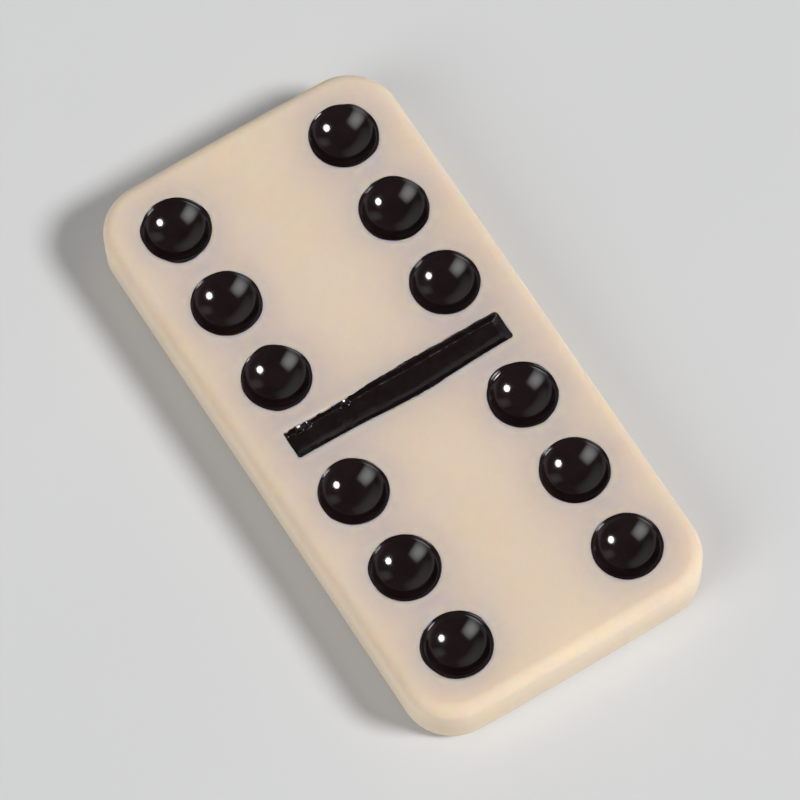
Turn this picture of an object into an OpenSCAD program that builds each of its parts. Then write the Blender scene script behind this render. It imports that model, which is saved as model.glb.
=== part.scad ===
// Double-six domino tile: one moulded resin block with twelve dimples and a divider groove
// in its face, and a cured enamel fill seated in each of them.
// The tile lies on its back. +Z is the face normal, +Y runs along the tile, +X across it,
// and the origin is under the tile's middle, on the surface that it lies on.

/* [Tile block] */
// Length of the tile
tile_l = 50; // [48:0.5:60]
// Width of the tile
tile_w = 25; // [24:0.5:30]
// Thickness of the tile
tile_t = 5; // [4:0.25:12]
// Radius of the four upright corners, seen from above
corner_r = 4; // [2:0.1:5]
// Radius of the rounded edges round the face and round the back
edge_r = 1; // [0.4:0.1:1.2]

/* [Pip layout] */
// Distance between the two columns of pips
column_gap = 14.7; // [13:0.1:16]
// Distance from one pip to the next in a column
pip_pitch = 7.2; // [6.6:0.1:7.4]
// Distance from the middle of the tile to the middle pip of each half
half_centre = 12.65; // [12.2:0.05:13]

/* [Pip shape] */
// Diameter of a dimple at the face
pip_d = 5.3; // [4:0.1:5.6]
// Depth of a dimple in the bare block
dimple_depth = 1.6; // [1:0.05:2]
// Thickness of the enamel at the bottom of a dimple
pip_enamel_t = 0.3; // [0.2:0.05:0.4]
// Drop from the face to the enamel's rim
rim_drop = 0.06; // [0.02:0.01:0.1]
// Width of the enamel's flat rim
rim_w = 0.12; // [0.05:0.01:0.2]

/* [Divider bar] */
// Length of the groove
bar_l = 18.6; // [14:0.1:20]
// Width of the groove
bar_w = 2.6; // [1.5:0.1:3]
// Depth of the groove in the bare block
groove_depth = 0.9; // [0.6:0.05:1.2]
// Thickness of the enamel on the groove's floor
bar_floor_t = 0.3; // [0.2:0.05:0.4]
// Thickness of the enamel on the groove's walls
bar_wall_t = 0.15; // [0.1:0.01:0.25]

/* [Hidden] */
$fn = 96;
overcut = 1;
section_l = tile_l - 2 * corner_r;
section_w = tile_w - 2 * corner_r;
column_x = column_gap / 2;

// A pip is [name, x, y]: the name says its half, its column and its place, counted from the bar
PIPS = [
    for (half = [["upper", 1], ["lower", -1]])
        for (column = [["left", -1], ["right", 1]])
            for (place = [["inner", -1], ["middle", 0], ["outer", 1]])
                [
                    str("pip_", half[0], "_", column[0], "_", place[0]),
                    column[1] * column_x,
                    half[1] * (half_centre + place[1] * pip_pitch)
                ]
];

// Radius of the sphere whose cap has this radius at its opening and this depth
function cap_sphere_r(opening_r, depth) = (opening_r * opening_r + depth * depth) / (2 * depth);

// Radius of a circle on a sphere, at this height above the sphere's lowest point
function ring_r(sphere_r, height) = sqrt(height * (2 * sphere_r - height));

// Upright cross-section of the block: a rectangle of this width with rounded edges
module block_section(width) {
    flat_w = width - 2 * edge_r;
    union() {
        translate([-width / 2, edge_r]) square([width, tile_t - 2 * edge_r]);
        translate([-flat_w / 2, 0]) square([flat_w, tile_t]);
        for (x = [-flat_w / 2, flat_w / 2], y = [edge_r, tile_t - edge_r])
            translate([x, y]) circle(r = edge_r);
    }
}

// One round corner of the block: the cross-section's outer half, turned about the corner's axis
module block_corner() {
    rotate_extrude()
        intersection() {
            block_section(2 * corner_r);
            square([corner_r, tile_t]);
        }
}

// The block before its dimples and groove are cut
module plain_block() {
    union() {
        translate([0, section_l / 2, 0])
            rotate([90, 0, 0]) linear_extrude(section_l) block_section(tile_w);
        translate([-section_w / 2, 0, 0])
            rotate([90, 0, 90]) linear_extrude(section_w) block_section(tile_l);
        for (x = [-section_w / 2, section_w / 2], y = [-section_l / 2, section_l / 2])
            translate([x, y, 0]) block_corner();
    }
}

// The ball that a dimple is the print of, placed about the dimple's middle on the face
module dimple_ball() {
    ball_r = cap_sphere_r(pip_d / 2, dimple_depth);
    translate([0, 0, tile_t - dimple_depth + ball_r]) sphere(r = ball_r);
}

// The moulded block, with a dimple under each pip and a groove under the bar
module tile_block() {
    color("#e1cbb0")
        difference() {
            plain_block();
            for (pip = PIPS) translate([pip[1], pip[2], 0]) dimple_ball();
            translate([-bar_l / 2, -bar_w / 2, tile_t - groove_depth])
                cube([bar_l, bar_w, groove_depth + overcut]);
        }
}

// The enamel in one dimple: a thin bowl, thickest at its bottom, with a narrow flat rim
module pip_enamel() {
    ball_r = cap_sphere_r(pip_d / 2, dimple_depth);
    rim_height = dimple_depth - rim_drop;
    hollow_r = ring_r(ball_r, rim_height) - rim_w;
    hollow_ball_r = cap_sphere_r(hollow_r, rim_height - pip_enamel_t);
    floor_z = tile_t - dimple_depth;
    color("#17151a")
        difference() {
            intersection() {
                dimple_ball();
                translate([0, 0, floor_z - overcut]) cylinder(d = pip_d + 2, h = rim_height + overcut);
            }
            translate([0, 0, floor_z + pip_enamel_t + hollow_ball_r]) sphere(r = hollow_ball_r);
        }
}

// The enamel in the groove: a shallow tray with square corners
module divider_bar() {
    floor_z = tile_t - groove_depth;
    color("#1c191b")
        difference() {
            translate([-bar_l / 2, -bar_w / 2, floor_z])
                cube([bar_l, bar_w, groove_depth - rim_drop]);
            translate([-bar_l / 2 + bar_wall_t, -bar_w / 2 + bar_wall_t, floor_z + bar_floor_t])
                cube([bar_l - 2 * bar_wall_t, bar_w - 2 * bar_wall_t, groove_depth]);
        }
}

tile_block();
divider_bar();
for (pip = PIPS)
    translate([pip[1], pip[2], 0]) pip_enamel();
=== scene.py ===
"""Looks of the double-six domino tile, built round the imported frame.

The moulded block, the enamel in its twelve dimples and the enamel bar in its groove are each one
closed mesh. Lengths are in metres, in the frame's own axes: +Z out of the face, +Y along the tile.
"""

import math

import bmesh
import bpy
import numpy as np
from mathutils import Matrix, Vector, noise
from mathutils.geometry import delaunay_2d_cdt


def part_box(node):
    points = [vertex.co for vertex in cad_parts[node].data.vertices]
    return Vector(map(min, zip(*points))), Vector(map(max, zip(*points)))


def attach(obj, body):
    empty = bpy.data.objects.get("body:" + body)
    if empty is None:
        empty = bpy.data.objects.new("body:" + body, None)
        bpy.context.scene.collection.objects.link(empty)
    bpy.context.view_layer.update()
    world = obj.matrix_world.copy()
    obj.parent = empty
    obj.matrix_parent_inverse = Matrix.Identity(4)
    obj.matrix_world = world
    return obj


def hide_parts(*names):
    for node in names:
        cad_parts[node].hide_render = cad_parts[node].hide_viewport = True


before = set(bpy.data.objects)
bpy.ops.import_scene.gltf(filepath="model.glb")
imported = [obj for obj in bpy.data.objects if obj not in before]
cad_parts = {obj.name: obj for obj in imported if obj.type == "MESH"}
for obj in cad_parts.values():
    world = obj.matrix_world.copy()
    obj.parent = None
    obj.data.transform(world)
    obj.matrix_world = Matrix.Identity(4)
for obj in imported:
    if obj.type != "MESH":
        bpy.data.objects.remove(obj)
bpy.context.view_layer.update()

MM = 0.001

# ---------------------------------------------------------------- sizes, from the frame
block_low, block_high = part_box("tile_block")
half_width = block_high.x
half_length = block_high.y
top = block_high.z
corner_radius = 4.0 * MM
edge_radius = 1.0 * MM

PIP_NAMES = sorted(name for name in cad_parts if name.startswith("pip_"))
PIP_CENTRES = {}
for pip_name in PIP_NAMES:
    pip_low, pip_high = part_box(pip_name)
    PIP_CENTRES[pip_name] = Vector(((pip_low.x + pip_high.x) / 2, (pip_low.y + pip_high.y) / 2))

bar_low, bar_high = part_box("divider_bar")
bar_half_length = bar_high.x
bar_half_width = bar_high.y
groove_depth = top - bar_low.z
rim_drop = top - bar_high.z

# Face, a little under the box's top, so that enamel that has run over a rim stays inside the box
face_z = top - 0.02 * MM

# Drop of the face towards its edges, bow of the ends, reach of the rings round the roll, wall draft
crown_drop = 0.045 * MM
crown_reach = 4.0 * MM
bow = 0.12 * MM
roll_reach = 2.2 * MM
wall_draft = 0.05 * MM

# Dimples, all of one shape, the enamel in them, and how far the grey painted shade round it reaches
dimple_depth = top - pip_low.z
dimple_radius = 2.65 * MM
dimple_sphere = (dimple_radius**2 + dimple_depth**2) / (2 * dimple_depth)
dimple_lip = 0.09 * MM
bowl_sphere = 3.13 * MM
bowl_depth = 1.3 * MM
seat_gap = 0.003 * MM
film_thickness = 0.014 * MM
painted_shade_reach = 1.6 * MM

# Groove, a little off the middle, with its lower side drawn in towards both ends
groove_shift = 0.03 * MM
groove_bow = 0.26 * MM
groove_lip = 0.11 * MM
groove_corner = 0.20 * MM
groove_draft = 0.10 * MM
bar_floor = 0.30 * MM

RING_STEPS = 112
TAU = 2 * math.pi

# Colour of the light at the horizon, where the floor meets the world
HORIZON = (0.62, 0.625, 0.63)


# ---------------------------------------------------------------- small helpers
def wave(x, y, size, seed):
    """Smooth noise between about -1 and 1, with bumps about this size."""
    return noise.noise(Vector((x / size + 13.7 * seed, y / size - 7.3 * seed, 3.1 * seed)))


def smooth_step(value):
    value = min(max(value, 0.0), 1.0)
    return value * value * (3 - 2 * value)


def hump(value, middle, width):
    """A bell from 0 far away to 1 in its middle."""
    return math.exp(-(((value - middle) / width) ** 2))


def soft_max(a, b, blend):
    """The larger of two lengths, with the crossing rounded over about this length."""
    return (a + b + math.sqrt((a - b) ** 2 + blend * blend)) / 2


def rounded_point(index, half_x, half_y, radius, along_x, along_y, per_corner):
    """A point of a rounded rectangle, counted anticlockwise, and its outward direction.

    The counts are those of one side along x, one side along y and one corner.
    """
    half_turn = 2 * per_corner + along_x + along_y
    side = -1 if index >= half_turn else 1
    index %= half_turn
    flat_x = half_x - radius
    flat_y = half_y - radius
    if index < per_corner + along_y:
        centre = Vector((flat_x, -flat_y))
        start = -90
        slide = Vector((0, 2 * flat_y / along_y))
    else:
        index -= per_corner + along_y
        centre = Vector((flat_x, flat_y))
        start = 0
        slide = Vector((-2 * flat_x / along_x, 0))
    angle = math.radians(start + 90 * min(index / per_corner, 1))
    out = Vector((math.cos(angle), math.sin(angle)))
    return side * (centre + radius * out + slide * max(index - per_corner, 0)), side * out


def rounded_rectangle(half_x, half_y, radius, along_x, along_y, per_corner):
    """All the points of a rounded rectangle, each with its outward direction."""
    count = 2 * (2 * per_corner + along_x + along_y)
    size = (half_x, half_y, radius, along_x, along_y, per_corner)
    return [rounded_point(index, *size) for index in range(count)]


def inside_distance(x, y):
    """How far a place on the face is from the block's outline, inwards."""
    qx = abs(x) - (half_width - corner_radius)
    qy = abs(y) - (half_length - corner_radius)
    outside = math.hypot(max(qx, 0), max(qy, 0)) + min(max(qx, qy), 0) - corner_radius
    return -outside


def face_height(x, y):
    """The moulded face: a slight crown towards its edges, and moulding waves a few microns high."""
    inward = max(inside_distance(x, y), 0.0)
    crown = crown_drop * max(0.0, 1 - inward / crown_reach) ** 2
    waves = 0.0030 * MM * wave(x, y, 7 * MM, 1) + 0.0010 * MM * wave(x, y, 2.2 * MM, 2)
    return face_z - crown + waves


class Shell:
    """The vertices and faces of one piece while it is built."""

    def __init__(self):
        self.points = []
        self.faces = []

    def ring(self, points):
        start = len(self.points)
        self.points.extend(points)
        return list(range(start, len(self.points)))

    def bridge(self, first, second):
        count = len(first)
        for i in range(count):
            j = (i + 1) % count
            self.faces.append((first[i], first[j], second[j], second[i]))

    def stack(self, rings):
        """Joins one ring to the next all the way along the list."""
        indices = [self.ring(points) for points in rings]
        for first, second in zip(indices, indices[1:]):
            self.bridge(first, second)
        return indices

    def cap(self, ring, point):
        """Closes a ring with a fan about a point."""
        middle = self.ring([point])[0]
        for i, index in enumerate(ring):
            self.faces.append((index, ring[(i + 1) % len(ring)], middle))

    def fill(self, loops, keep, height, spacing=None):
        """Triangles between loops wherever keep says so, with points of their own at this spacing."""
        index_of = [index for loop in loops for index in loop]
        flat = [Vector(self.points[index][:2]) for index in index_of]
        edges = []
        start = 0
        for loop in loops:
            edges += [(start + i, start + (i + 1) % len(loop)) for i in range(len(loop))]
            start += len(loop)
        if spacing:
            low = Vector((min(p.x for p in flat), min(p.y for p in flat)))
            high = Vector((max(p.x for p in flat), max(p.y for p in flat)))
            pitch = spacing * math.sqrt(3) / 2
            for row in range(int((high.y - low.y) / pitch)):
                for column in range(int((high.x - low.x) / spacing)):
                    x = low.x + (column + 0.25 + 0.5 * (row % 2)) * spacing
                    y = low.y + (row + 0.5) * pitch
                    if keep(x, y, spacing * 0.45):
                        flat.append(Vector((x, y)))
        scaled = [point / MM for point in flat]
        made, _, triangles, origins, _, _ = delaunay_2d_cdt(scaled, edges, [], 0, 1e-6)
        place = []
        for point, origin in zip(made, origins):
            if origin and origin[0] < len(index_of):
                place.append(index_of[origin[0]])
            else:
                x, y = point.x * MM, point.y * MM
                place.extend(self.ring([(x, y, height(x, y))]))
        for triangle in triangles:
            cx = sum(made[i].x for i in triangle) * MM / 3
            cy = sum(made[i].y for i in triangle) * MM / 3
            if keep(cx, cy, 0.0):
                self.faces.append(tuple(place[i] for i in triangle))

    def build(self, name, material):
        mesh = bpy.data.meshes.new(name)
        mesh.from_pydata([tuple(point) for point in self.points], [], self.faces)
        work = bmesh.new()
        work.from_mesh(mesh)
        bmesh.ops.delete(work, geom=[v for v in work.verts if not v.link_faces], context="VERTS")
        bmesh.ops.recalc_face_normals(work, faces=work.faces)
        for face in work.faces:
            face.smooth = True
        work.to_mesh(mesh)
        work.free()
        mesh.materials.append(material)
        piece = bpy.data.objects.new(name, mesh)
        bpy.context.scene.collection.objects.link(piece)
        return piece


# ---------------------------------------------------------------- moulded block
OUTLINE_STEPS = (64, 140, 26)
BAR_STEPS = (260, 30, 8)
BAR_POINTS = 2 * (BAR_STEPS[0] + BAR_STEPS[1] + 2 * BAR_STEPS[2])


def outline_ring(inset, drop=0.0, level=None):
    """One ring round the block this far in from its outline, below the face by drop or at a level."""
    points = []
    for point, out in rounded_rectangle(half_width, half_length, corner_radius, *OUTLINE_STEPS):
        place = point - out * inset
        across = place.x / half_width
        along = place.y / half_length
        place.y -= math.copysign(bow * across**2 * abs(along) ** 6, along)
        height = face_height(place.x, place.y) - drop if level is None else level
        points.append((place.x, place.y, height))
    return points


def edge_rings():
    """The block's side from the face to the back: upper roll, slightly drafted wall, lower roll."""
    quarter = [math.radians(90 * step / 12) for step in range(13)]
    rings = [outline_ring(inset) for inset in (roll_reach, 1.9 * MM, 1.6 * MM, 1.35 * MM, 1.15 * MM)]
    for angle in quarter:
        inset = edge_radius * (1 - math.sin(angle))
        rings.append(outline_ring(inset, drop=edge_radius * (1 - math.cos(angle))))
    wall_top = face_z - crown_drop - edge_radius
    for step in range(1, 6):
        share = step / 6
        rings.append(outline_ring(wall_draft * share, level=wall_top + (edge_radius - wall_top) * share))
    for angle in reversed(quarter):
        inset = wall_draft + edge_radius * (1 - math.sin(angle))
        rings.append(outline_ring(inset, level=edge_radius * (1 - math.cos(angle))))
    rings += [outline_ring(wall_draft + inset, level=0.0) for inset in (1.5 * MM, roll_reach)]
    return rings


def dimple_profile():
    """(radius, depth) of a dimple from the flat face over its rounded lip and down to near its bottom."""
    wall_angle = math.asin(dimple_radius / dimple_sphere)
    lip_depth = dimple_lip * (1 - math.cos(wall_angle))
    wall_radius = dimple_radius - lip_depth / math.tan(wall_angle)
    flat_radius = wall_radius + dimple_lip * math.sin(wall_angle)
    profile = [(flat_radius + 0.12 * MM, 0.0), (flat_radius + 0.05 * MM, 0.0)]
    for step in range(7):
        angle = wall_angle * step / 6
        profile.append((flat_radius - dimple_lip * math.sin(angle), dimple_lip * (1 - math.cos(angle))))
    rim_height = math.sqrt(dimple_sphere**2 - dimple_radius**2)
    for step in range(1, 17):
        radius = wall_radius * (1 - step / 17)
        profile.append((radius, math.sqrt(dimple_sphere**2 - radius**2) - rim_height))
    return profile


DIMPLE = dimple_profile()
DIMPLE_RADII = [radius for radius, _ in reversed(DIMPLE)]
DIMPLE_DEPTHS = [depth for _, depth in reversed(DIMPLE)]


def dimple_depth_at(radius):
    """Depth of the bare block at this distance from a dimple's middle, exact in its inner half."""
    if radius < dimple_radius / 2:
        return math.sqrt(dimple_sphere**2 - radius**2) - math.sqrt(dimple_sphere**2 - dimple_radius**2)
    return float(np.interp(radius, DIMPLE_RADII, DIMPLE_DEPTHS))


def groove_profile():
    """(offset, depth) across the groove's wall: flat face, rounded lip, drafted wall, floor."""
    wall_angle = math.radians(83)
    profile = [(0.18 * MM, 0.0)]
    for step in range(6):
        angle = wall_angle * step / 5
        profile.append((groove_lip * (1 - math.sin(angle)), groove_lip * (1 - math.cos(angle))))
    profile += [(-0.5 * groove_draft, 0.55 * groove_depth), (-groove_draft, groove_depth - 0.04 * MM)]
    profile += [(-groove_draft - 0.05 * MM, groove_depth)]
    return profile


GROOVE = groove_profile()
GROOVE_OFFSETS = [offset for offset, _ in reversed(GROOVE)]
GROOVE_DEPTHS = [depth for _, depth in reversed(GROOVE)]


def groove_size(offset):
    """The rounded rectangle this far outside the groove's edge."""
    radius = max(groove_corner + offset, 0.03 * MM)
    return (bar_half_length + offset, bar_half_width + offset, radius, *BAR_STEPS)


def groove_sides(x):
    """Where the groove's lower and upper edges are at this place along it."""
    drawn_in = groove_bow * (1 - hump(x, 1.0 * MM, 4.5 * MM))
    return groove_shift + drawn_in - bar_half_width, groove_shift + bar_half_width


def groove_point(index, offset):
    """A point of the groove's outline moved out by this much, with the sides where they really run."""
    place, _ = rounded_point(index, *groove_size(offset))
    lower, upper = groove_sides(place.x)
    place.y = (lower + upper) / 2 + place.y * (upper - lower) / (2 * bar_half_width)
    return place


def in_groove(x, y, offset):
    """Whether a place is inside the groove's outline moved out by this much."""
    lower, upper = groove_sides(x)
    offset_y = offset * (upper - lower) / (2 * bar_half_width)
    return abs(x) < bar_half_length + offset and lower - offset_y < y < upper + offset_y


def groove_ring(offset, depth):
    points = [groove_point(index, offset) for index in range(BAR_POINTS)]
    return [(p.x, p.y, face_height(p.x, p.y) - depth) for p in points]


def dimple_ring(centre, radius, depth):
    points = []
    for step in range(RING_STEPS):
        x = centre.x + radius * math.cos(TAU * step / RING_STEPS)
        y = centre.y + radius * math.sin(TAU * step / RING_STEPS)
        points.append((x, y, face_height(x, y) - depth))
    return points


def on_bare_face(x, y, room):
    """Whether a place on the face is clear of the edge roll, the dimples and the groove by this much."""
    if inside_distance(x, y) < roll_reach + room:
        return False
    reach = DIMPLE[0][0] + room
    if any(math.hypot(x - c.x, y - c.y) < reach for c in PIP_CENTRES.values()):
        return False
    return not in_groove(x, y, GROOVE[0][0] + room)


def on_groove_floor(x, y, room):
    """Whether a place is on the groove's flat floor, clear of its walls by this much."""
    return in_groove(x, y, GROOVE[-1][0] - room)


def on_back(x, y, room):
    """Whether a place on the back is clear of the lower roll by this much."""
    return inside_distance(x, y) > roll_reach + room


def painted_shade_nearness(x, y):
    """Painted shade round the enamel, highest near the rim of a pip or of the bar, cut back on the lip into
    a pale painted ring, and fading outwards.
    """
    gaps = [math.hypot(x - c.x, y - c.y) - dimple_radius for c in PIP_CENTRES.values()]
    lower, upper = groove_sides(x)
    gaps.append(math.hypot(max(abs(x) - bar_half_length, 0), max(lower - y, y - upper, 0)))
    nearest = min(gaps)
    # Less painted shade on the lip, which paints a pale ring just outside each rim
    lip = 1 - 0.55 * (1 - smooth_step((nearest - 0.12 * MM) / (0.4 * MM)))
    return lip * sum(math.exp(-max(gap, 0) / painted_shade_reach) for gap in gaps)


def tile_block(material):
    shell = Shell()
    sides = shell.stack(edge_rings())
    loops = [sides[0]]
    for centre in PIP_CENTRES.values():
        rings = shell.stack([dimple_ring(centre, radius, depth) for radius, depth in DIMPLE])
        shell.cap(rings[-1], (centre.x, centre.y, top - dimple_depth))
        loops.append(rings[0])
    walls = shell.stack([groove_ring(offset, depth) for offset, depth in GROOVE])
    loops.append(walls[0])
    shell.fill(loops, on_bare_face, face_height, 0.6 * MM)
    shell.fill([walls[-1]], on_groove_floor, lambda x, y: top - groove_depth)
    shell.fill([sides[-1]], on_back, lambda x, y: 0.0, 2.5 * MM)
    piece = shell.build("tile_block_moulding", material)
    # Painted shade round the enamel, kept on each vertex of the face for the resin's colour
    nearness = []
    for vertex in piece.data.vertices:
        on_upper_part = vertex.co.z > top - edge_radius
        nearness.append(painted_shade_nearness(vertex.co.x, vertex.co.y) if on_upper_part else 0.0)
    painted_shade = piece.data.attributes.new("painted_shade_nearness", "FLOAT", "POINT")
    painted_shade.data.foreach_set("value", nearness)
    return piece


# ---------------------------------------------------------------- enamel in the dimples
# Where the rings of an enamel bowl run, as shares of the way from its middle to its edge
BOWL_SHARES = [1, 0.994, 0.987, 0.98, 0.972, 0.963, 0.954, 0.945, 0.935, 0.92, 0.9, 0.87]
BOWL_SHARES += [0.87 * (1 - step / 17) for step in range(1, 17)]
SEAT_SHARES = [0.99, 0.98, 0.965, 0.94, 0.88, 0.76, 0.6, 0.4, 0.2]


def enamel_pip(name, seed, material):
    """Cured enamel: a gloss bowl with a meniscus at its rim, run a little over the lip in places."""
    centre = PIP_CENTRES[name]
    pool = Vector((wave(seed, 0.2, 1, 3), wave(seed, 0.7, 1, 4))) * 0.12 * MM
    sphere = bowl_sphere * (1 + 0.05 * wave(seed, 1.3, 1, 5))
    depth_here = bowl_depth * (1 + 0.03 * wave(seed, 2.1, 1, 6))
    lip_radius = DIMPLE[2][0]

    def edge(angle):
        wander = wave(math.cos(angle) + 3 * seed, math.sin(angle), 0.45, 7)
        run_over = max(0.0, wave(math.cos(angle), math.sin(angle) + 5 * seed, 0.8, 8) - 0.12)
        return lip_radius + (-0.035 + 0.03 * wander + 0.22 * run_over) * MM

    def bowl(x, y):
        radius = math.hypot(x - pool.x, y - pool.y)
        hollow = depth_here - (sphere - math.sqrt(sphere**2 - radius**2))
        ripple = 0.0035 * MM * wave(x, y, 1.1 * MM, 9 + seed)
        ripple += 0.0012 * MM * wave(x, y, 0.4 * MM, 30 + seed)
        return soft_max(hollow, rim_drop, 0.03 * MM) + ripple

    def point(share, angle, is_top):
        reach = edge(angle)
        x, y = share * reach * math.cos(angle), share * reach * math.sin(angle)
        seat = dimple_depth_at(share * reach) - seat_gap
        depth = seat
        if is_top and share < 1:
            film = film_thickness * smooth_step((1 - share) * reach / (0.07 * MM))
            depth = min(bowl(x, y), seat - film)
        x, y = x + centre.x, y + centre.y
        return (x, y, face_height(x, y) - depth)

    def ring(share, is_top):
        return [point(share, TAU * step / RING_STEPS, is_top) for step in range(RING_STEPS)]

    face_here = face_height(centre.x, centre.y)
    shell = Shell()
    tops = shell.stack([ring(share, True) for share in BOWL_SHARES])
    shell.cap(tops[-1], (centre.x, centre.y, face_here - bowl(0, 0)))
    unders = shell.stack([ring(share, False) for share in SEAT_SHARES])
    shell.bridge(tops[0], unders[0])
    shell.cap(unders[-1], (centre.x, centre.y, face_here - dimple_depth_at(0) + seat_gap))
    return shell.build(name + "_enamel", material)


# ---------------------------------------------------------------- enamel in the groove
def bar_overrun(x, y):
    """How far the bar's enamel has run past the groove's edge here. Below zero the lip shows."""
    x, y = x / MM, y / MM
    half_x = bar_half_length / MM
    ragged = 0.05 * wave(x, y, 0.9, 11) + 0.03 * wave(x, y, 0.35, 12)
    if abs(x) > half_x - 0.02:
        return (0.03 + 0.6 * ragged) * MM
    if y > 0:
        chips = 0.05 * hump(x, -7.0, 0.45) + 0.04 * hump(x, -5.6, 0.30)
        run = 0.12 * smooth_step((x + 3.4) / 2.4) + 0.06 * hump(x, 1.7, 0.8) + ragged - chips
    else:
        run = -0.02 + 0.08 * hump(x, 1.0, 4.5) + 0.04 * hump(x, 2.0, 0.7) + ragged
    fade = smooth_step((half_x - abs(x)) / 0.3)
    return max(0.03 * (1 - fade) + run * fade, -0.03) * MM


# Small sloping ledges of enamel on the groove's upper wall, in millimetres: place along it, half width
LEDGES = ((-8.05, 0.16), (-7.35, 0.08), (-4.1, 0.12))


def bar_depth(x, y):
    """Depth of the enamel's surface in the groove: a rippled floor with a meniscus up each wall."""
    lower, upper = (side / MM for side in groove_sides(x))
    x, y = x / MM, y / MM
    half_x = bar_half_length / MM
    strokes = 0.024 * wave(0.3 * x, y, 0.42, 13) + 0.016 * wave(x, y, 0.6, 14)
    grains = 0.007 * wave(x, y, 0.2, 15)
    drift = 0.12 * wave(x, y, 1.6, 16)
    walls = ((y - lower, 1.30 + drift, 2.65), (upper - y, 0.28 + 0.5 * drift, 2.0),
             (x + half_x, 0.32, 2.0), (half_x - x, 0.60 + drift, 1.6))
    rise = 1.0
    for distance, width, power in walls:
        rise *= 1 - (1 - min(max(distance / width, 0.0), 1.0)) ** power
    rim = 0.6 * rim_drop / MM
    floor = (groove_depth - bar_floor) / MM - strokes - grains
    depth = rim + (floor - rim) * rise
    down = upper - y
    for middle_x, reach in LEDGES:
        ledge = rim + 0.2 * (x - middle_x + reach) + 0.54 * down + 5 * max(down - 0.16, 0) ** 2
        share = 1 - smooth_step((abs(x - middle_x) - reach) / 0.32)
        depth += share * min(ledge - depth, 0)
    return depth * MM


def divider_bar(material):
    """Brushed-in enamel: a tray with soft inner corners, a rippled floor and ragged long edges."""
    overruns = [bar_overrun(p.x, p.y) for p, _ in rounded_rectangle(*groove_size(0))]
    reach = 0.5 * MM

    def ring(share, is_top):
        """share runs from 0 at the enamel's edge to 1 at a fixed reach inside the groove's edge."""
        points = []
        for index, overrun in enumerate(overruns):
            offset = overrun - share * (overrun + reach)
            place = groove_point(index, offset)
            seat = float(np.interp(offset, GROOVE_OFFSETS, GROOVE_DEPTHS)) - seat_gap
            depth = seat
            if is_top and share > 0:
                film = film_thickness * smooth_step((overrun - offset) / (0.06 * MM))
                depth = min(bar_depth(place.x, place.y), seat - film)
            points.append((place.x, place.y, face_height(place.x, place.y) - depth))
        return points

    shell = Shell()
    shares = [0, 0.04, 0.08, 0.13, 0.18, 0.23, 0.28, 0.33, 0.38, 0.43, 0.49, 0.56, 0.64, 0.72, 0.81, 0.9, 1]
    tops = shell.stack([ring(share, True) for share in shares])
    unders = shell.stack([ring(share, False) for share in (0.12, 0.22, 0.3, 0.4, 0.5, 0.6, 0.8, 1)])
    shell.bridge(tops[0], unders[0])

    def inside(x, y, room):
        return in_groove(x, y, -reach - room)

    shell.fill([tops[-1]], inside, lambda x, y: face_height(x, y) - bar_depth(x, y), 0.10 * MM)
    shell.fill([unders[-1]], inside, lambda x, y: top - groove_depth + seat_gap)
    return shell.build("divider_bar_enamel", material)


# ---------------------------------------------------------------- materials
class Nodes:
    """Short calls for the nodes of one tree. A value is a number, a colour or another node's socket."""

    def __init__(self, tree):
        self.tree = tree

    def add(self, kind):
        return self.tree.nodes.new("ShaderNode" + kind)

    def put(self, value, socket):
        if isinstance(value, (int, float)):
            socket.default_value = value
        elif isinstance(value, tuple):
            socket.default_value = (*value, 1)
        else:
            self.tree.links.new(value, socket)

    def axis(self, vector, name):
        node = self.add("SeparateXYZ")
        self.put(vector, node.inputs[0])
        return node.outputs[name]

    def span(self, value, low, high, to_low, to_high):
        """Maps one range of a value onto another, with smooth ends."""
        node = self.add("MapRange")
        node.interpolation_type = "SMOOTHSTEP"
        for socket, given in zip(node.inputs, (value, low, high, to_low, to_high)):
            self.put(given, socket)
        return node.outputs[0]

    def math(self, operation, a, b):
        node = self.add("Math")
        node.operation = operation
        self.put(a, node.inputs[0])
        self.put(b, node.inputs[1])
        return node.outputs[0]

    def mix(self, amount, a, b):
        """Two colours mixed by an amount."""
        node = self.add("Mix")
        node.data_type = "RGBA"
        self.put(amount, node.inputs["Factor"])
        self.put(a, node.inputs[6])
        self.put(b, node.inputs[7])
        return node.outputs[2]


class Paint(Nodes):
    """The nodes of a material: a Principled shader, and the object's own coordinates."""

    def __init__(self, name):
        self.material = bpy.data.materials.new(name)
        self.material.use_nodes = True
        super().__init__(self.material.node_tree)
        self.tree.nodes.clear()
        self.shader = self.add("BsdfPrincipled")
        self.put(self.shader.outputs[0], self.add("OutputMaterial").inputs["Surface"])
        self.place = self.add("TexCoord").outputs["Object"]

    def set(self, **values):
        """Sets the shader's sockets, named with _ for a space."""
        for name, value in values.items():
            self.put(value, self.shader.inputs[name.replace("_", " ")])

    def noise(self, size, detail=2.0, roughness=0.5, stretch=(1, 1, 1)):
        """Noise from 0 to 1, with features about this size."""
        mapping = self.add("Mapping")
        mapping.inputs["Scale"].default_value = stretch
        self.put(self.place, mapping.inputs["Vector"])
        node = self.add("TexNoise")
        node.inputs["Scale"].default_value = 1 / size
        node.inputs["Detail"].default_value = detail
        node.inputs["Roughness"].default_value = roughness
        self.put(mapping.outputs[0], node.inputs["Vector"])
        return node.outputs[0]

    def bump(self, height, distance, strength, under=None):
        node = self.add("Bump")
        node.inputs["Distance"].default_value = distance
        node.inputs["Strength"].default_value = strength
        self.put(height, node.inputs["Height"])
        if under:
            self.put(under, node.inputs["Normal"])
        return node.outputs[0]

    def attribute(self, name):
        node = self.add("Attribute")
        node.attribute_name = name
        return node.outputs["Fac"]


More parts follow.
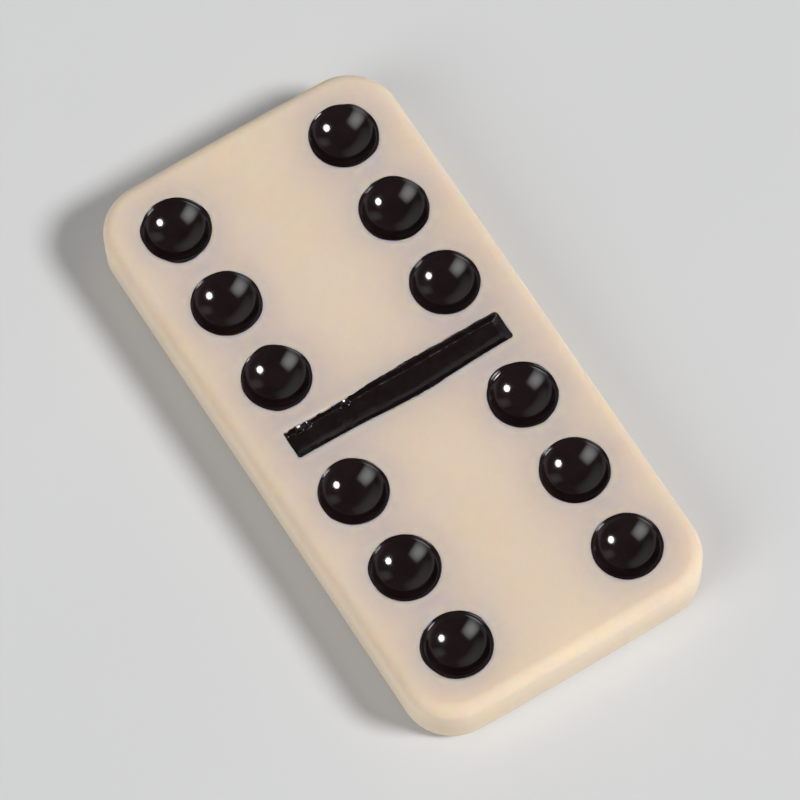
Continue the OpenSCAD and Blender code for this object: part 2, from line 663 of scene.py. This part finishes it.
def resin_material():
    """Cream moulded resin: translucent, satin, softly clouded, with grey painted shade round the enamel and
    painted shade low on its sides.
    """
    paint = Paint("cream_resin")
    cloud = paint.span(paint.noise(7 * MM, 3, 0.55), 0.3, 0.7, 0, 1)
    colour = paint.mix(cloud, (0.808, 0.666, 0.504), (0.818, 0.684, 0.531))
    flow = paint.span(paint.noise(2.4 * MM, 4, 0.6, (1, 0.5, 1)), 0.45, 0.75, 0, 0.5)
    colour = paint.mix(flow, colour, (0.828, 0.706, 0.566))
    speck = paint.span(paint.noise(0.30 * MM, 1, 0.5), 0.78, 0.83, 0, 0.2)
    colour = paint.mix(speck, colour, (0.55, 0.42, 0.30))
    # Painted shade: the sides darken towards the back, taking off light that the pale floor throws up onto
    # them
    below = paint.span(paint.axis(paint.place, "Z"), 1.5 * MM, 3.8 * MM, 0.25, 0)
    colour = paint.mix(below, colour, (0.60, 0.48, 0.35))
    # Painted shade: greyer round the enamel, where the translucent resin loses light into the black paint
    painted_shade = paint.math("MULTIPLY", paint.attribute("painted_shade_nearness"), 0.54)
    colour = paint.mix(painted_shade, colour, (0.52, 0.44, 0.47))
    rub = paint.span(paint.noise(1.6 * MM, 4, 0.6), 0.3, 0.7, 0.58, 0.68)
    streak = paint.span(paint.noise(0.5 * MM, 3, 0.6, (1, 0.12, 1)), 0.5, 0.8, 0, 0.07)
    fine = paint.bump(paint.noise(0.12 * MM, 2, 0.5), 0.004 * MM, 0.5)
    dents = paint.bump(paint.noise(0.9 * MM, 3, 0.5), 0.006 * MM, 0.6, fine)
    paint.set(Base_Color=colour, Roughness=paint.math("ADD", rub, streak), Normal=dents, IOR=1.5)
    paint.set(Specular_IOR_Level=0.32, Subsurface_Weight=1.0, Subsurface_Scale=1.0 * MM)
    paint.shader.inputs["Subsurface Radius"].default_value = (1.6, 1.2, 0.5)
    return paint.material


def pip_material():
    """Gloss black enamel, with the faint dust and brush drag that it dried with."""
    paint = Paint("gloss_black_enamel")
    cloud = paint.span(paint.noise(1.5 * MM, 3, 0.5), 0.3, 0.7, 0, 1)
    colour = paint.mix(cloud, (0.0085, 0.0036, 0.0040), (0.0130, 0.0062, 0.0066))
    dust = paint.span(paint.noise(0.09 * MM, 1, 0.5), 0.72, 0.8, 0, 0.3)
    colour = paint.mix(dust, colour, (0.06, 0.055, 0.055))
    rough = paint.span(paint.noise(0.7 * MM, 3, 0.5), 0.3, 0.7, 0.08, 0.13)
    drag = paint.bump(paint.noise(0.35 * MM, 2, 0.5), 0.0015 * MM, 0.6)
    paint.set(Base_Color=colour, Roughness=rough, Normal=drag, IOR=1.5)
    return paint.material


def bar_material():
    """Satin black enamel, brushed along the groove."""
    paint = Paint("satin_black_enamel")
    cloud = paint.span(paint.noise(0.8 * MM, 4, 0.6), 0.3, 0.7, 0, 1)
    colour = paint.mix(cloud, (0.0070, 0.0032, 0.0036), (0.0115, 0.0055, 0.0060))
    rough = paint.span(paint.noise(1.1 * MM, 3, 0.5), 0.35, 0.65, 0.13, 0.30)
    drag = paint.bump(paint.noise(0.16 * MM, 2, 0.5, (0.2, 1, 1)), 0.008 * MM, 0.6)
    fine = paint.bump(paint.noise(0.12 * MM, 2, 0.5), 0.004 * MM, 0.5, drag)
    paint.set(Base_Color=colour, Roughness=rough, Normal=fine, IOR=1.5)
    return paint.material


def floor_material():
    """A pale matt table top that turns into the horizon's own pale light further away."""
    paint = Paint("pale_floor")
    grain = paint.span(paint.noise(60 * MM, 3, 0.5), 0.3, 0.7, 0, 1)
    near = paint.mix(grain, (0.69, 0.692, 0.694), (0.71, 0.712, 0.714))
    away = paint.add("VectorMath")
    away.operation = "LENGTH"
    paint.put(paint.place, away.inputs[0])
    fade = paint.span(away.outputs["Value"], 0.3, 1.6, 0, 1)
    paint.set(Base_Color=paint.mix(fade, near, (0, 0, 0)), Roughness=0.6, Specular_IOR_Level=0.0)
    paint.set(Emission_Color=HORIZON, Emission_Strength=fade)
    return paint.material


# ---------------------------------------------------------------- pieces
resin = resin_material()
pip_enamel = pip_material()
bar_enamel = bar_material()

block = tile_block(resin)
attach(block, "root")
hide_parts("tile_block")

bar = divider_bar(bar_enamel)
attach(bar, "root")
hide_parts("divider_bar")

for number, pip_name in enumerate(PIP_NAMES):
    pip = enamel_pip(pip_name, number, pip_enamel)
    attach(pip, "root")
    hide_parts(pip_name)


# ---------------------------------------------------------------- floor, lights, camera
middle = Vector((0, 0, top / 2))
light_distance = 3.0


def stage_floor():
    reach = 60.0
    corners = [(-reach, -reach, 0), (reach, -reach, 0), (reach, reach, 0), (-reach, reach, 0)]
    mesh = bpy.data.meshes.new("floor")
    mesh.from_pydata(corners, [], [(0, 1, 2, 3)])
    mesh.materials.append(floor_material())
    floor = bpy.data.objects.new("floor", mesh)
    bpy.context.scene.collection.objects.link(floor)
    floor.location.z = -0.01 * MM


def direction(azimuth, elevation):
    """Unit vector for an azimuth, from +X towards +Y, and an elevation, both in degrees."""
    azimuth = math.radians(azimuth)
    elevation = math.radians(elevation)
    level = math.cos(elevation)
    return Vector((level * math.cos(azimuth), level * math.sin(azimuth), math.sin(elevation)))


def area_light(name, azimuth, elevation, width, height, radiance, soft=True):
    """A lamp facing the tile. Its power follows from its radiance.

    A soft lamp is a rectangle, brightest in its middle; the other kind is an even disc.
    """
    toward = direction(azimuth, elevation)
    lamp = bpy.data.lights.new(name, "AREA")
    lamp.shape = "RECTANGLE" if soft else "ELLIPSE"
    lamp.size = width
    lamp.size_y = height
    area = width * height * (1 if soft else math.pi / 4)
    lamp.energy = radiance * math.pi * area
    if soft:
        fade_to_edges(lamp)
    light = bpy.data.objects.new(name, lamp)
    light.location = middle + toward * light_distance
    light.rotation_euler = toward.to_track_quat("Z", "Y").to_euler()
    bpy.context.scene.collection.objects.link(light)


def fade_to_edges(lamp):
    """Makes a lamp's emission 16 u (1 - u) v (1 - v) over its surface."""
    lamp.use_nodes = True
    nodes = Nodes(lamp.node_tree)
    surface = nodes.add("NewGeometry").outputs["Parametric"]
    strength = 16.0
    for name in ("X", "Y"):
        share = nodes.axis(surface, name)
        both = nodes.math("MULTIPLY", share, nodes.math("SUBTRACT", 1.0, share))
        strength = nodes.math("MULTIPLY", strength, both)
    nodes.put(strength, nodes.tree.nodes["Emission"].inputs["Strength"])


def studio_world():
    """Dark overhead with a pale horizon, as in a dim room with pale walls."""
    world = bpy.data.worlds.new("studio")
    world.use_nodes = True
    nodes = Nodes(world.node_tree)
    height = nodes.axis(nodes.add("TexCoord").outputs["Generated"], "Z")
    colour = nodes.mix(nodes.span(height, 0.02, 0.30, 0, 1), HORIZON, (0.085, 0.085, 0.087))
    nodes.put(colour, nodes.tree.nodes["Background"].inputs["Color"])
    bpy.context.scene.world = world


def photo_camera():
    """Looks at the tile from its near left, steeply down, through a long lens."""
    back = direction(-119.9, 65.6)
    distance = 0.539
    tile_share = 0.84
    roll = Matrix.Rotation(math.radians(-2.07), 3, "Z").to_quaternion()
    camera = bpy.data.cameras.new("camera")
    camera.sensor_width = 36.0
    camera.lens = camera.sensor_width * distance * tile_share / (2 * half_length)
    camera.clip_start = 0.01
    camera.clip_end = 200.0
    holder = bpy.data.objects.new("camera", camera)
    holder.location = middle + back * distance
    holder.rotation_euler = (back.to_track_quat("Z", "Y") @ roll).to_euler()
    bpy.context.scene.collection.objects.link(holder)
    bpy.context.scene.camera = holder


stage_floor()
area_light("key", -44.5, 43.4, 0.88, 0.88, 38.7, soft=False)
area_light("softbox", 190, 36, 2.3, 3.1, 3.9)
area_light("far_card", 106, 28, 6.0, 3.0, 0.45)
area_light("right_card", 3, 30, 1.4, 2.4, 0.5)
studio_world()
photo_camera()
bpy.context.scene.view_settings.view_transform = "Standard"
